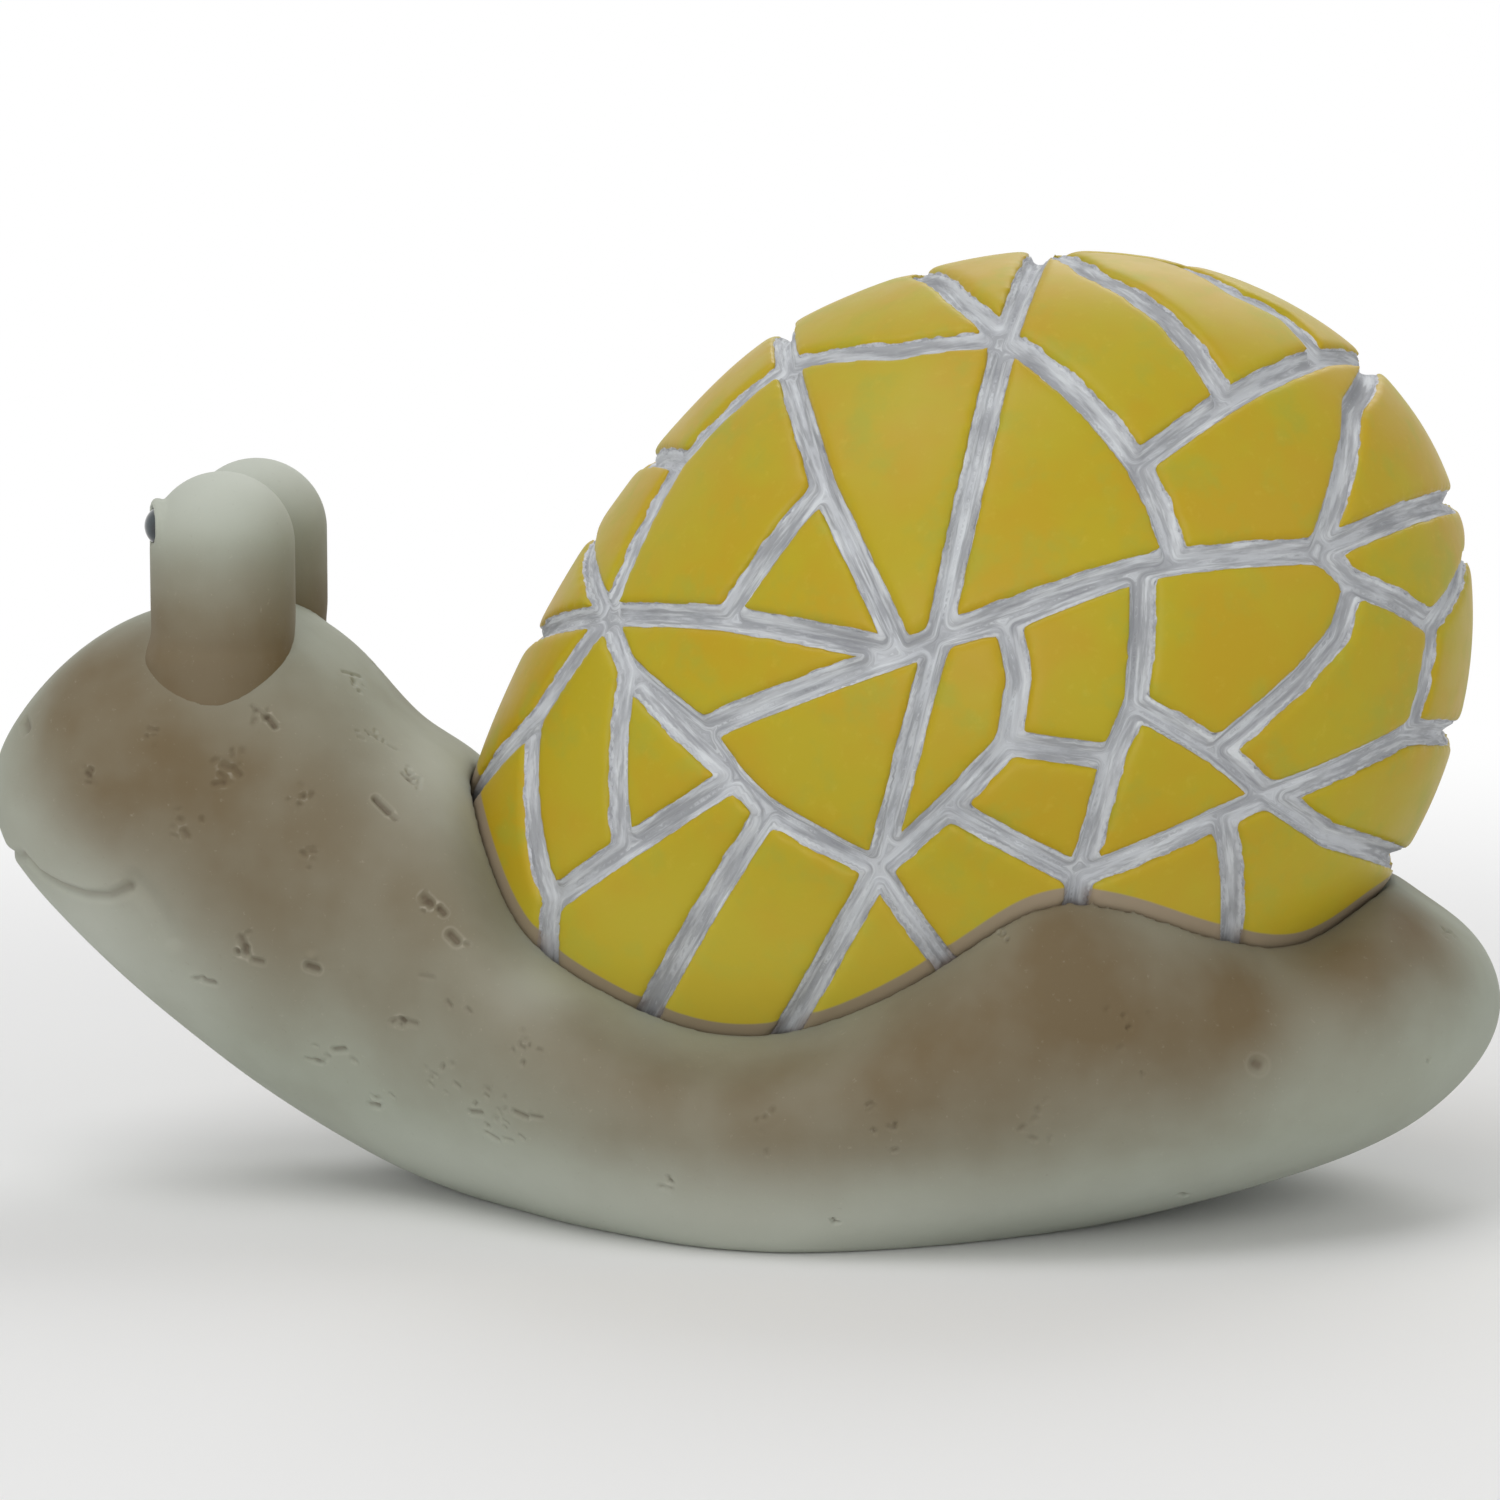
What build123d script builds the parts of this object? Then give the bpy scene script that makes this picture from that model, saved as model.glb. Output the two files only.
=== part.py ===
from build123d import *
import math
import os

os.makedirs("parts", exist_ok=True)

# Snail figurine: a cast body that carries an egg-shaped shell covered in crazy-paving
# mosaic tiles. The snail looks along -X, its left and right sides mirror each other
# across the XZ plane, and it rests on the flat underside at Z = 0.

# Body, in millimetres
BODY_LENGTH = 240.0
BODY_WIDTH = 116.0
HEAD_HEIGHT = 94.5
BODY_STATIONS = 34
BODY_END_SHARE = 0.008

# Hollow in the underside and the plate that closes it
HOLLOW_LENGTH = 92.0
HOLLOW_WIDTH = 60.0
HOLLOW_HEIGHT = 19.0
HOLLOW_CENTRE_X = 10.0
HOLLOW_ROUNDING = 5.0
PLATE_THICKNESS = 3.0
PLATE_LEDGE = 4.0

# Shell, an egg lying on its long axis with the blunt end up at the back
SHELL_FRONT_REACH = 103.6
SHELL_REAR_REACH = 78.9
SHELL_HALF_HEIGHT = 66.2
SHELL_HALF_WIDTH = 54.0
SHELL_CENTRE_X = 40.1
SHELL_CENTRE_Z = 80.0
SHELL_TILT = 33.5
FRONT_TAPER = 1.525
REAR_TAPER = 1.943
CORE_WALL = 5.0
CORE_FLOOR = 7.0
CORE_OPENING_RADIUS = 13.0
CORE_OPENING_SHARE = 0.38
RIM_LAP = 2.5

# Rings that carry the shell's loft, as shares of its reach from the centre
RING_POINTS = 24
RING_SHARES = (
    -0.985, -0.93, -0.82, -0.66, -0.48, -0.3, -0.15, 0, 0.2, 0.4, 0.58, 0.74, 0.87, 0.95, 0.988,
)

# Mosaic
TILE_HEART_SHARE = 0.12
COLUMN_SHARES = (0.78, 1.4)
TILE_THICKNESS = 4.5
GROUT_WIDTH = 3.2
GROUT_DEPTH = 2.4

# Eye stalks and eyes
STALK_RADIUS = 11.35
STALK_SPACING = 27.6
STALK_X = -80.4
STALK_TOP = 115.0
STALK_SEAT = 69.0
EYE_RADIUS = 3.3
EYE_HEIGHT = 106.6
EYE_TURN = 20.0
BEAD_SINK = 2.45
SHANK_RADIUS = 1.0
SHANK_LENGTH = 6.0
LID_RING_RADIUS = 3.5
LID_RADIUS = 1.0
LID_RISE = 1.2

# Pins and dowels that hold the castings together
PIN_RADIUS = 1.6
PIN_LENGTH = 24.0
DOWEL_RADIUS = 2.5
DOWEL_LENGTH = 10.0
DOWEL_X_SHARES = (0.04, 0.7)
BEVEL_SHARE = 0.25

# Clearances
GLUE_GAP = 0.12
PIN_GAP = 0.1

# Half outline of the body, as shares: place along the half length, height over the
# head's height, and half width over the body's half width
TOP_SHARES = (
    (-1.0, 0.665), (-0.963, 0.794), (-0.88, 0.907), (-0.797, 0.966), (-0.68, 0.993),
    (-0.6, 0.973), (-0.514, 0.896), (-0.434, 0.783), (-0.39, 0.728), (-0.355, 0.708),
    (-0.325, 0.635),
)
TAIL_TOP_SHARES = (
    (0.85, 0.543), (0.88, 0.525), (0.922, 0.491), (0.969, 0.441), (1.0, 0.34),
)
LOW_SHARES = (
    (-1.0, 0.665), (-0.968, 0.55), (-0.887, 0.43), (-0.765, 0.286), (-0.6, 0.129),
    (-0.433, 0.017), (-0.26, -0.046), (-0.07, -0.119), (0.04, -0.162), (0.17, -0.138),
    (0.375, -0.06), (0.56, -0.002), (0.703, 0.048), (0.817, 0.098), (0.892, 0.147),
    (0.972, 0.243), (1.0, 0.34),
)
MIDDLE_SHARES = (
    (-1.0, 0.665), (-0.88, 0.65), (-0.68, 0.59), (-0.52, 0.49), (-0.36, 0.35),
    (-0.2, 0.26), (0.04, 0.2), (0.3, 0.27), (0.56, 0.3), (0.8, 0.31), (0.94, 0.34), (1.0, 0.34),
)
WIDTH_SHARES = (
    (-1.0, 0.0), (-0.963, 0.3), (-0.88, 0.445), (-0.78, 0.5), (-0.68, 0.515), (-0.6, 0.525),
    (-0.52, 0.545), (-0.42, 0.6), (-0.32, 0.71), (-0.2, 0.84), (-0.04, 0.94),
    (0.14, 1.0), (0.36, 1.0), (0.52, 0.945), (0.66, 0.83), (0.78, 0.68),
    (0.88, 0.51), (0.95, 0.33), (1.0, 0.0),
)

# Where the body's lip meets the shell, seen from the side
SEAM_SHARES = (
    (-0.347, 0.67), (-0.315, 0.582), (-0.256, 0.476), (-0.159, 0.395), (-0.04, 0.338),
    (0.04, 0.33), (0.12, 0.352), (0.236, 0.422), (0.364, 0.537), (0.44, 0.583),
    (0.525, 0.569), (0.648, 0.503), (0.737, 0.48), (0.787, 0.505), (0.852, 0.551),
)
RIM_FRONT_SHARES = ((-0.44, 0.9), (-0.362, 0.73))
RIM_REAR_SHARES = ((0.94, 0.6),)

# Fullness of the body's rounded cross-sections above and below their widest line
UPPER_POWER = 2.35
LOWER_POWER = 2.15
SECTION_POINTS = 20

# The photograph's view of the snail, for the mosaic's pixel coordinates
VIEW_AZIMUTH = 6.0
VIEW_ELEVATION = 7.5
VIEW_DISTANCE_PIXELS = 5347.0
VIEW_CENTRE_PIXEL = (750, 750)
SHELL_CENTRE_PIXEL = (996, 693)
SHELL_FRONT_PIXELS = 656.0
SHELL_REAR_PIXELS = 499.0
SHELL_HALF_HEIGHT_PIXELS = 419.0
SHELL_HALF_WIDTH_PIXELS = 342.0
SIDE_HALVINGS = 20

# Corners of the mosaic's joints in the photograph. The first group lies on the crest.
CREST_PIXELS = {
    "k1": (788, 336), "k2": (914, 278), "k3": (1040, 260), "k4": (1158, 266),
    "k5": (1357, 375), "k6": (1455, 502), "k7": (1465, 549), "k8": (1447, 734),
    "k9": (1400, 860), "k10": (1370, 960), "k11": (650, 466), "k12": (600, 528),
    "k13": (540, 643), "k14": (455, 835), "k15": (400, 930),
}
CORNER_PIXELS = {
    "a1": (895, 352), "a2": (960, 300), "a3": (1005, 340),
    "a7": (1138, 464), "a8": (1225, 403),
    "a9": (1168, 326), "a10": (1091, 278), "a12": (1234, 300),
    "a13": (1279, 322), "a14": (1317, 361), "e1": (788, 364),
    "b1": (1348, 410), "b2": (1339, 480), "b3": (1318, 552), "b4": (1178, 562),
    "b5": (1161, 510), "b6": (1144, 567), "b7": (940, 637), "b8": (904, 653),
    "b9": (824, 484), "b10": (723, 617), "b11": (605, 614), "b12": (681, 459),
    "b13": (1400, 517), "b14": (1352, 584), "b15": (1430, 624), "b16": (1411, 733),
    "c1": (532, 720), "c2": (547, 905), "c3": (625, 668), "c4": (620, 853),
    "c5": (733, 779), "c6": (700, 730), "c7": (768, 813), "c8": (880, 873),
    "d1": (1010, 618), "d2": (1022, 680), "d3": (1011, 744), "d4": (950, 809),
    "d5": (1139, 705), "d6": (1116, 758), "d7": (1084, 879), "d8": (1340, 634),
    "d9": (1302, 680), "d10": (1220, 752), "d11": (1359, 761), "d12": (1273, 797),
    "d13": (1228, 817), "d14": (1332, 837),
    "s1": (547, 1010), "s2": (628, 1057), "s3": (775, 1060), "s4": (976, 1001),
    "s5": (1075, 940), "s6": (1229, 985), "s7": (1290, 990),
}

# Tiles that lie across the crest, from one crest corner round to the next
CREST_TILES = {
    "01": ("k1", "e1", "a1", "a3", "a2", "k2"),
    "02": ("k2", "a2", "a3", "k3"),
    "05": ("k4", "a12", "a13", "a14", "k5"),
    "11": ("k11", "b12", "e1", "k1"),
    "12": ("k12", "b11", "b12", "k11"),
    "13": ("k13", "b11", "k12"),
    "14": ("k14", "c1", "b11", "k13"),
    "32": ("k8", "b16", "d11", "d12", "d14", "k9"),
    "33": ("k5", "b1", "b2", "b3", "b13", "k6"),
    "34": ("k6", "b13", "b3", "b14", "b15", "k7"),
    "35": ("k7", "b15", "b16", "k8"),
}

# Tiles on one side, each with a twin on the other
SIDE_TILES = {
    "03": ("k3", "a10", "a9", "a8", "a7", "a3"),
    "04": ("k3", "a10", "a9", "a8", "a14", "a13", "a12", "k4"),
    "06": ("a7", "a8", "a14", "k5", "b1", "b2", "b3", "b4", "b5"),
    "07": ("a3", "a7", "b5", "b4", "b6", "b7"),
    "08": ("e1", "a1", "a3", "b7", "b8", "b9"),
    "09": ("e1", "b9", "b10", "b11", "b12"),
    "10": ("b9", "b8", "b10"),
    "15": ("k14", "c1", "c2", "s1", "k15"),
    "16": ("c1", "b11", "c3", "c4", "c2"),
    "17": ("c3", "c5", "c4"),
    "18": ("b11", "b10", "b8", "c6", "c3"),
    "19": ("c6", "b8", "b7", "c8", "c7", "c5"),
    "20": ("c2", "c4", "c5", "c7", "s2", "s1"),
    "21": ("c7", "c8", "s3", "s2"),
    "22": ("c8", "s4", "s3"),
    "23": ("b7", "d1", "d2", "d3", "d4", "c8"),
    "24": ("d1", "b6", "d5", "d6", "d3", "d2"),
    "25": ("b6", "b4", "b3", "b14", "d8", "d9", "d10", "d5"),
    "26": ("b14", "b15", "b16", "d11", "d12", "d10", "d9", "d8"),
    "27": ("d5", "d10", "d12", "d13", "d7", "d6"),
    "28": ("d3", "d6", "d7", "d4"),
    "29": ("d4", "d7", "s5", "s4", "c8"),
    "30": ("d7", "d13", "s6", "s5"),
    "31": ("d13", "d12", "d14", "k9", "k10", "s7", "s6"),
}

# Sizes and directions that follow from the ones above
HALF_LENGTH = BODY_LENGTH / 2
HALF_WIDTH = BODY_WIDTH / 2
TILT = math.radians(SHELL_TILT)
LONG_AXIS = Vector(math.cos(TILT), 0, math.sin(TILT))
CROSS_AXIS = Vector(-math.sin(TILT), 0, math.cos(TILT))
SHELL_CENTRE = Vector(SHELL_CENTRE_X, 0, SHELL_CENTRE_Z)
TILE_HEART = SHELL_CENTRE - LONG_AXIS * (TILE_HEART_SHARE * SHELL_FRONT_REACH)


def between(table, share):
    """Smooth value of a table at a share, turning evenly at both ends of the body."""
    walk = [math.acos(-max(-1, min(1, row[0]))) for row in table]
    values = [row[1] for row in table]
    here = math.acos(-max(-1, min(1, share)))
    here = max(walk[0], min(walk[-1], here))
    last = len(table) - 1
    span = 0
    while span < last - 1 and here > walk[span + 1]:
        span += 1
    slopes = []
    for knot in (span, span + 1):
        before = max(knot - 1, 0)
        after = min(knot + 1, last)
        slopes.append((values[after] - values[before]) / (walk[after] - walk[before]))
    step = walk[span + 1] - walk[span]
    t = (here - walk[span]) / step
    rise = 3 * t ** 2 - 2 * t ** 3
    curve = (t ** 3 - 2 * t ** 2 + t) * slopes[0] + (t ** 3 - t ** 2) * slopes[1]
    return values[span] * (1 - rise) + values[span + 1] * rise + curve * step


def mirrored(shape):
    """The same shape on the snail's other side."""
    return mirror(shape, about=Plane.XZ)


def ring_share(along):
    """Radius of the shell's ring at a share of its reach, as a share of the widest ring."""
    taper = FRONT_TAPER if along < 0 else REAR_TAPER
    return (1 - min(abs(along), 1) ** taper) ** (1 / taper)


def shell_side(x, z):
    """Half width of the shell at a point of its side view, zero outside it."""
    offset = Vector(x, 0, z) - SHELL_CENTRE
    along = offset.dot(LONG_AXIS)
    reach = SHELL_FRONT_REACH if along < 0 else SHELL_REAR_REACH
    ring = ring_share(along / reach)
    up = offset.dot(CROSS_AXIS) / SHELL_HALF_HEIGHT
    return SHELL_HALF_WIDTH * math.sqrt(max(ring ** 2 - up ** 2, 0))


def body_top(share, x, middle, wide):
    """Top of a cross-section, which under the shell runs through the lip's seam."""
    if TOP_SHARES[-1][0] <= share <= TAIL_TOP_SHARES[0][0]:
        seam = between(SEAM_SHARES, share) * HEAD_HEIGHT
        ratio = shell_side(x, seam) / wide
        return middle + (seam - middle) / (1 - ratio ** UPPER_POWER) ** (1 / UPPER_POWER)
    table = TOP_SHARES if share < 0 else TAIL_TOP_SHARES
    return between(table, share) * HEAD_HEIGHT


def body_section(walk):
    """One cross-section of the body, at a share of the way round from nose to tail."""
    share = -math.cos(math.pi * walk)
    x = share / math.cos(math.pi * BODY_END_SHARE) * HALF_LENGTH
    low = between(LOW_SHARES, share) * HEAD_HEIGHT
    middle = between(MIDDLE_SHARES, share) * HEAD_HEIGHT
    wide = between(WIDTH_SHARES, share) * HALF_WIDTH
    top = body_top(share, x, middle, wide)
    points = []
    for step in range(SECTION_POINTS):
        turn = 2 * math.pi * step / SECTION_POINTS
        out = math.sin(turn)
        rise = -math.cos(turn)
        power = UPPER_POWER if rise > 0 else LOWER_POWER
        reach = top - middle if rise > 0 else middle - low
        size = (abs(out) ** power + abs(rise) ** power) ** (-1 / power)
        points.append(Vector(x, out * size * wide, middle + rise * size * reach))
    return Face(Wire([Edge.make_spline(points, periodic=True)]))


def body_form():
    """Outer form of the body, before the seat, the sockets and the flat base."""
    sections = []
    for station in range(BODY_STATIONS + 1):
        walk = BODY_END_SHARE + (1 - 2 * BODY_END_SHARE) * station / BODY_STATIONS
        sections.append(body_section(walk))
    return loft(sections)


def shell_ring(along, inset):
    """Oval ring across the shell's long axis."""
    reach = SHELL_FRONT_REACH if along < 0 else SHELL_REAR_REACH
    centre = SHELL_CENTRE + LONG_AXIS * (along * (reach - inset))
    aside = Vector(0, (SHELL_HALF_WIDTH - inset) * ring_share(along), 0)
    upward = CROSS_AXIS * ((SHELL_HALF_HEIGHT - inset) * ring_share(along))
    turns = [2 * math.pi * step / RING_POINTS for step in range(RING_POINTS)]
    points = [centre + aside * math.cos(turn) + upward * math.sin(turn) for turn in turns]
    return Face(Wire([Edge.make_spline(points, periodic=True)]))


def egg(inset):
    """The shell's outer form in place, shrunk all round by an inset."""
    front = SHELL_CENTRE - LONG_AXIS * (SHELL_FRONT_REACH - inset)
    rear = SHELL_CENTRE + LONG_AXIS * (SHELL_REAR_REACH - inset)
    rings = [shell_ring(along, inset) for along in RING_SHARES]
    return loft([Vertex(*front)] + rings + [Vertex(*rear)])


def above_rim(drop):
    """Space above the shell's rim, which runs a lap under the body's lip."""
    shift = Vector(-drop / 2, 0, -drop)
    shares = RIM_FRONT_SHARES + SEAM_SHARES + RIM_REAR_SHARES
    rim = [Vector(x * HALF_LENGTH, 0, z * HEAD_HEIGHT) + shift for x, z in shares]
    roof = SHELL_CENTRE_Z + SHELL_FRONT_REACH
    line = Edge.make_spline(rim)
    rear = [Vector(HALF_LENGTH, 0, rim[-1].Z), Vector(HALF_LENGTH, 0, roof)]
    corners = [rim[-1]] + rear + [Vector(rim[0].X, 0, roof), rim[0]]
    outline = Wire([line] + Wire.make_polygon(corners, close=False).edges())
    return extrude(Face(outline), amount=SHELL_HALF_WIDTH + BODY_WIDTH, dir=(0, 1, 0), both=True)


def shell_place(pixel, side):
    """Shares along and up the shell under a pixel, at a share of the half width."""
    azimuth = math.radians(VIEW_AZIMUTH)
    elevation = math.radians(VIEW_ELEVATION)
    near = side * SHELL_HALF_WIDTH_PIXELS
    shrink = 1 - near / VIEW_DISTANCE_PIXELS
    across = VIEW_CENTRE_PIXEL[0] + (pixel[0] - VIEW_CENTRE_PIXEL[0]) * shrink
    down = VIEW_CENTRE_PIXEL[1] + (pixel[1] - VIEW_CENTRE_PIXEL[1]) * shrink
    across = across - SHELL_CENTRE_PIXEL[0]
    rise = SHELL_CENTRE_PIXEL[1] - down
    x = (across + near * math.sin(azimuth)) / math.cos(azimuth)
    lean = x * math.sin(azimuth) + near * math.cos(azimuth)
    offset = Vector(x, 0, (rise + lean * math.sin(elevation)) / math.cos(elevation))
    along = offset.dot(LONG_AXIS)
    reach = SHELL_FRONT_PIXELS if along < 0 else SHELL_REAR_PIXELS
    return along / reach, offset.dot(CROSS_AXIS) / SHELL_HALF_HEIGHT_PIXELS


def shell_point(pixel, on_crest):
    """Point of the shell's outside under a pixel of the photograph."""
    inner = 0
    outer = 0 if on_crest else 1
    for _ in range(SIDE_HALVINGS):
        side = (inner + outer) / 2
        along, up = shell_place(pixel, side)
        if ring_share(along) ** 2 - up ** 2 > side ** 2:
            inner = side
        else:
            outer = side
    along, up = shell_place(pixel, outer)
    reach = SHELL_FRONT_REACH if along < 0 else SHELL_REAR_REACH
    place = LONG_AXIS * (along * reach) + CROSS_AXIS * (up * SHELL_HALF_HEIGHT)
    return SHELL_CENTRE + place - Vector(0, outer * SHELL_HALF_WIDTH, 0)


def tile_column(corners, inset):
    """Straight-sided column over a tile's corners, drawn in by half a joint."""
    spokes = [corner - TILE_HEART for corner in corners]
    middle = sum(spokes, Vector()) * (1 / len(spokes))
    up = middle.normalized()
    turn = sum((spokes[i - 1].cross(spokes[i]) for i in range(len(spokes))), Vector())
    if turn.dot(up) < 0:
        spokes.reverse()
    count = len(spokes)
    walls = [spokes[i].cross(spokes[(i + 1) % count]).normalized() for i in range(count)]
    rings = []
    for share in COLUMN_SHARES:
        height = middle.length * share
        ring = []
        for i in range(count):
            first, second = walls[i - 1], walls[i]
            point = (second.cross(up) + up.cross(first)) * inset + first.cross(second) * height
            ring.append(TILE_HEART + point * (1 / first.dot(second.cross(up))))
        rings.append(ring)
    foot, head = rings
    faces = [Face(Wire.make_polygon(foot)), Face(Wire.make_polygon(head))]
    for i in range(count):
        j = (i + 1) % count
        faces.append(Face(Wire.make_polygon([foot[i], foot[j], head[j], head[i]])))
    return Solid(Shell(faces))


def tile_corners(name):
    """Corners of a tile, with a crest tile's chain carried over to the far side."""
    if name in CREST_TILES:
        chain = [CORNERS[key] for key in CREST_TILES[name]]
        back = [Vector(c.X, -c.Y, c.Z) for c in reversed(chain[1:-1])]
        return chain + back
    return [CORNERS[key] for key in SIDE_TILES[name]]


def tile(name, layer):
    """One mosaic tile, with the sheer edges of a cut one."""
    return (tile_column(tile_corners(name), GROUT_WIDTH / 2) & layer).solids()[0]


def grout(room):
    """The joints between the tiles, set back from the tiles' faces."""
    mesh = (egg(GROUT_DEPTH) - egg(TILE_THICKNESS)) & room
    columns = []
    for name in CREST_TILES:
        columns.append(tile_column(tile_corners(name), GROUT_WIDTH / 2 - GLUE_GAP))
    for name in SIDE_TILES:
        column = tile_column(tile_corners(name), GROUT_WIDTH / 2 - GLUE_GAP)
        columns.append(column)
        columns.append(mirrored(column))
    return mesh - columns


def rim_height(share):
    """Height of the shell's rim on the centre line at a share of the half length."""
    return between(SEAM_SHARES, share) * HEAD_HEIGHT - RIM_LAP


def bar(radius, x, y, low, high):
    """Round bar standing between two heights."""
    upright = Cylinder(radius, high - low, align=(Align.CENTER, Align.CENTER, Align.MIN))
    return Pos(x, y, low) * upright


def rod(radius, x, y, joint, length):
    """Pin with bevelled ends, half of it on each side of a joint."""
    plain = bar(radius, x, y, joint - length / 2, joint + length / 2)
    return chamfer(plain.edges().filter_by(GeomType.CIRCLE), BEVEL_SHARE * radius)


def rod_hole(radius, x, y, joint, length):
    """Hole that takes a pin with clearance all round."""
    reach = length / 2 + PIN_GAP
    return bar(radius + PIN_GAP, x, y, joint - reach, joint + reach)


def dowel_holes():
    """Holes for both dowels between the shell and the body."""
    holes = []
    for share in DOWEL_X_SHARES:
        holes.append(rod_hole(DOWEL_RADIUS, share * HALF_LENGTH, 0, rim_height(share), DOWEL_LENGTH))
    return holes


def core(room):
    """Hollow former that carries the mosaic, open underneath between its dowels."""
    outside = TILE_THICKNESS + GLUE_GAP
    inside = egg(outside + CORE_WALL) & above_rim(RIM_LAP - CORE_FLOOR)
    x = CORE_OPENING_SHARE * HALF_LENGTH
    opening = bar(CORE_OPENING_RADIUS, x, 0, 0, SHELL_CENTRE_Z)
    return (egg(outside) & room) - inside - opening - dowel_holes()


def stalk_form(gap):
    """Left eye stalk, a round bar with a domed top, grown by a gap."""
    y = -STALK_SPACING / 2
    neck = STALK_TOP - STALK_RADIUS
    post = bar(STALK_RADIUS + gap, STALK_X, y, STALK_SEAT - gap, neck)
    return post + Pos(STALK_X, y, neck) * Sphere(STALK_RADIUS + gap)


def eye_plane():
    """Place of the left eye on its stalk, looking forward and a little outward."""
    turn = math.radians(EYE_TURN)
    outward = Vector(-math.cos(turn), -math.sin(turn), 0)
    foot = Vector(STALK_X, -STALK_SPACING / 2, EYE_HEIGHT)
    return Plane(origin=foot + outward * (STALK_RADIUS - BEAD_SINK), z_dir=outward)


def bead_form(gap):
    """Left eye's bead with the shank behind it, grown by a gap."""
    ball = Sphere(EYE_RADIUS + gap)
    length = SHANK_LENGTH + gap
    shank = Cylinder(SHANK_RADIUS + gap, length, align=(Align.CENTER, Align.CENTER, Align.MAX))
    return eye_plane() * (ball + shank)


def stalk():
    """Left eye stalk with its lid, the bead's socket and the pin's hole."""
    rim = Torus(LID_RING_RADIUS, LID_RADIUS)
    back = Cylinder(LID_RING_RADIUS, EYE_RADIUS, align=(Align.CENTER, Align.CENTER, Align.MAX))
    lid = eye_plane() * Pos(0, 0, LID_RISE) * (rim + back)
    hole = rod_hole(PIN_RADIUS, STALK_X, -STALK_SPACING / 2, STALK_SEAT, PIN_LENGTH)
    return stalk_form(0) + lid - bead_form(GLUE_GAP) - hole


def oval_block(growth, height):
    """Block over the underside's oval, from the rest plane up."""
    oval = Ellipse(HOLLOW_LENGTH / 2 + growth, HOLLOW_WIDTH / 2 + growth)
    return extrude(Pos(HOLLOW_CENTRE_X, 0, 0) * oval, amount=height, dir=(0, 0, 1))


def body(stalk_hole, pin_hole):
    """Head, foot and tail, with the shell's seat, the sockets and the hollow underside."""
    form = body_form()
    under = Box(BODY_LENGTH, BODY_WIDTH, HEAD_HEIGHT, align=(Align.CENTER, Align.CENTER, Align.MAX))
    seat = egg(-GLUE_GAP) & above_rim(RIM_LAP + GLUE_GAP)
    hollow = oval_block(0, HOLLOW_HEIGHT)
    hollow = fillet(hollow.edges().group_by(Axis.Z)[-1], HOLLOW_ROUNDING)
    recess = oval_block(PLATE_LEDGE, PLATE_THICKNESS + GLUE_GAP)
    form = form - under - seat - hollow - recess
    form = form - stalk_hole - mirrored(stalk_hole) - pin_hole - mirrored(pin_hole)
    return form - dowel_holes()


def save(shape, name):
    """Write one node's file."""
    export_step(shape, "parts/" + name + ".step")


CORNERS = {key: shell_point(pixel, True) for key, pixel in CREST_PIXELS.items()}
CORNERS.update({key: shell_point(pixel, False) for key, pixel in CORNER_PIXELS.items()})

# The shell and its mosaic
room = above_rim(RIM_LAP)
layer = (egg(0) - egg(TILE_THICKNESS)) & room
for name in CREST_TILES:
    save(tile(name, layer), "mosaic_tile_" + name)
for name in SIDE_TILES:
    left_tile = tile(name, layer)
    save(Compound(children=[left_tile, mirrored(left_tile)]), "mosaic_tile_" + name)
save(grout(room), "shell_grout")
save(core(room), "shell_core")

# The body, its stalks and eyes, and the plate underneath
left_pin = rod(PIN_RADIUS, STALK_X, -STALK_SPACING / 2, STALK_SEAT, PIN_LENGTH)
left_pin_hole = rod_hole(PIN_RADIUS, STALK_X, -STALK_SPACING / 2, STALK_SEAT, PIN_LENGTH)
left_stalk = stalk()
left_bead = bead_form(0)
save(body(stalk_form(GLUE_GAP), left_pin_hole), "body")
save(left_stalk, "eye_stalk_left")
save(mirrored(left_stalk), "eye_stalk_right")
save(left_bead, "eye_bead_left")
save(mirrored(left_bead), "eye_bead_right")
save(left_pin, "stalk_pin_left")
save(mirrored(left_pin), "stalk_pin_right")
save(oval_block(PLATE_LEDGE - PIN_GAP, PLATE_THICKNESS), "base_plate")
for share, end in zip(DOWEL_X_SHARES, ("front", "rear")):
    dowel = rod(DOWEL_RADIUS, share * HALF_LENGTH, 0, rim_height(share), DOWEL_LENGTH)
    save(dowel, "shell_dowel_" + end)
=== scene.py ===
import math
import random

import bmesh
import bpy
import numpy as np
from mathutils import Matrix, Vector, noise
from mathutils.bvhtree import BVHTree


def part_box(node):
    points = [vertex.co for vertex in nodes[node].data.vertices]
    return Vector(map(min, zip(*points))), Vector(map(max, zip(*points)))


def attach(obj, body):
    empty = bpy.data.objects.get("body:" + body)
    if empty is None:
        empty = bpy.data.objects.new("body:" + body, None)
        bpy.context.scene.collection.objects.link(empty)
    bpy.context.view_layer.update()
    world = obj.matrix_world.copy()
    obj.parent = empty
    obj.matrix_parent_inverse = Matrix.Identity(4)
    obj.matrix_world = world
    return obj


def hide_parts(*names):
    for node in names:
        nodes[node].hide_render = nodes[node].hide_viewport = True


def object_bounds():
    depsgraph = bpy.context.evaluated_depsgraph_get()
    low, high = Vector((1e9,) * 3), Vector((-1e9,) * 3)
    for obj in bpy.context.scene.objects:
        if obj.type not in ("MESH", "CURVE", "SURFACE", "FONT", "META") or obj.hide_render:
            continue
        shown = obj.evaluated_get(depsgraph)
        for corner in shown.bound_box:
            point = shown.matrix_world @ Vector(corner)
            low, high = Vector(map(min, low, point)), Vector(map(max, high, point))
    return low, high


# Snail figurine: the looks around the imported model. Lengths are in millimetres unless a
# name says metres, and MM turns them into metres. Places on the photograph are pixels of
# its 1500 x 1500 frame.

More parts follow.
